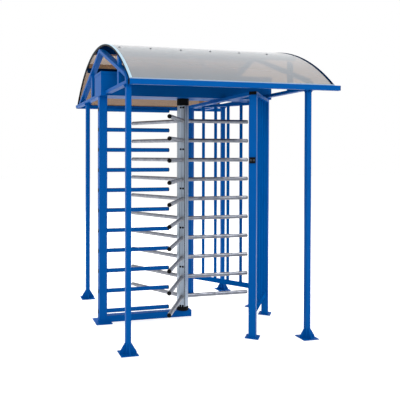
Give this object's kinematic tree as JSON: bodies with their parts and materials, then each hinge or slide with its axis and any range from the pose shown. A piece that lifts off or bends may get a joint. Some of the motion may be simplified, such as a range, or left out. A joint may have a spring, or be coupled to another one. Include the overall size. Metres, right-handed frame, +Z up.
{
  "type": "full-height turnstile",
  "caption": "Full-height turnstile with a caged rotor that turns through a comb of bars, under an arched translucent canopy on corner posts.",
  "frame": {"origin": "on the floor, on the rotor's axis, at the underside of the base beam", "axes": "+X runs along the header from the comb towards the cage, +Y runs through the passage away from the front, +Z is up"},
  "size_m": [2.055, 2.62, 2.7775],
  "materials": {
    "blue_paint": "satin powder coat",
    "rotor_steel": "satin",
    "black_plastic": "matt",
    "edge_aluminium": "satin",
    "roof_sheet": "bronze-tinted gloss sheet"
  },
  "bodies": {
    "frame": {"base_beam": "blue_paint", "base_bearing": "black_plastic", "comb_post": "blue_paint", "comb_bars": "blue_paint", "comb_caps": "black_plastic", "comb_plugs": "black_plastic", "header_box": "blue_paint", "header_lid": "blue_paint", "header_collar": "black_plastic", "cage_post_front": "blue_paint", "cage_post_side_front": "blue_paint", "cage_post_side_back": "blue_paint", "cage_post_back": "blue_paint", "cage_panel_front": "blue_paint", "cage_panel_side": "blue_paint", "cage_panel_back": "blue_paint", "cage_ring": "blue_paint", "cage_beam": "blue_paint", "cage_ring_caps": "black_plastic", "reader": "black_plastic", "post_front_left": "blue_paint", "post_front_right": "blue_paint", "post_back_left": "blue_paint", "post_back_right": "blue_paint", "tie_left": "blue_paint", "tie_right": "blue_paint", "eave_front": "blue_paint", "eave_back": "blue_paint", "eave_caps": "black_plastic", "truss_left": "blue_paint", "truss_right": "blue_paint", "purlins": "blue_paint", "ridge_plate": "blue_paint", "arch_left": "black_plastic", "arch_right": "black_plastic", "edge_strips": "edge_aluminium", "roof_sheet": "roof_sheet"},
    "rotor": {"rotor_column": "rotor_steel", "wing_a": "rotor_steel", "wing_b": "rotor_steel", "wing_c": "rotor_steel", "wing_a_caps": "black_plastic", "wing_b_caps": "black_plastic", "wing_c_caps": "black_plastic"}
  },
  "joints": [
    {"name": "rotor_spin", "type": "hinge", "parent": "frame", "child": "rotor", "pos_m": [0, 0, 0], "axis": [0, 0, 1], "continuous": true}
  ]
}
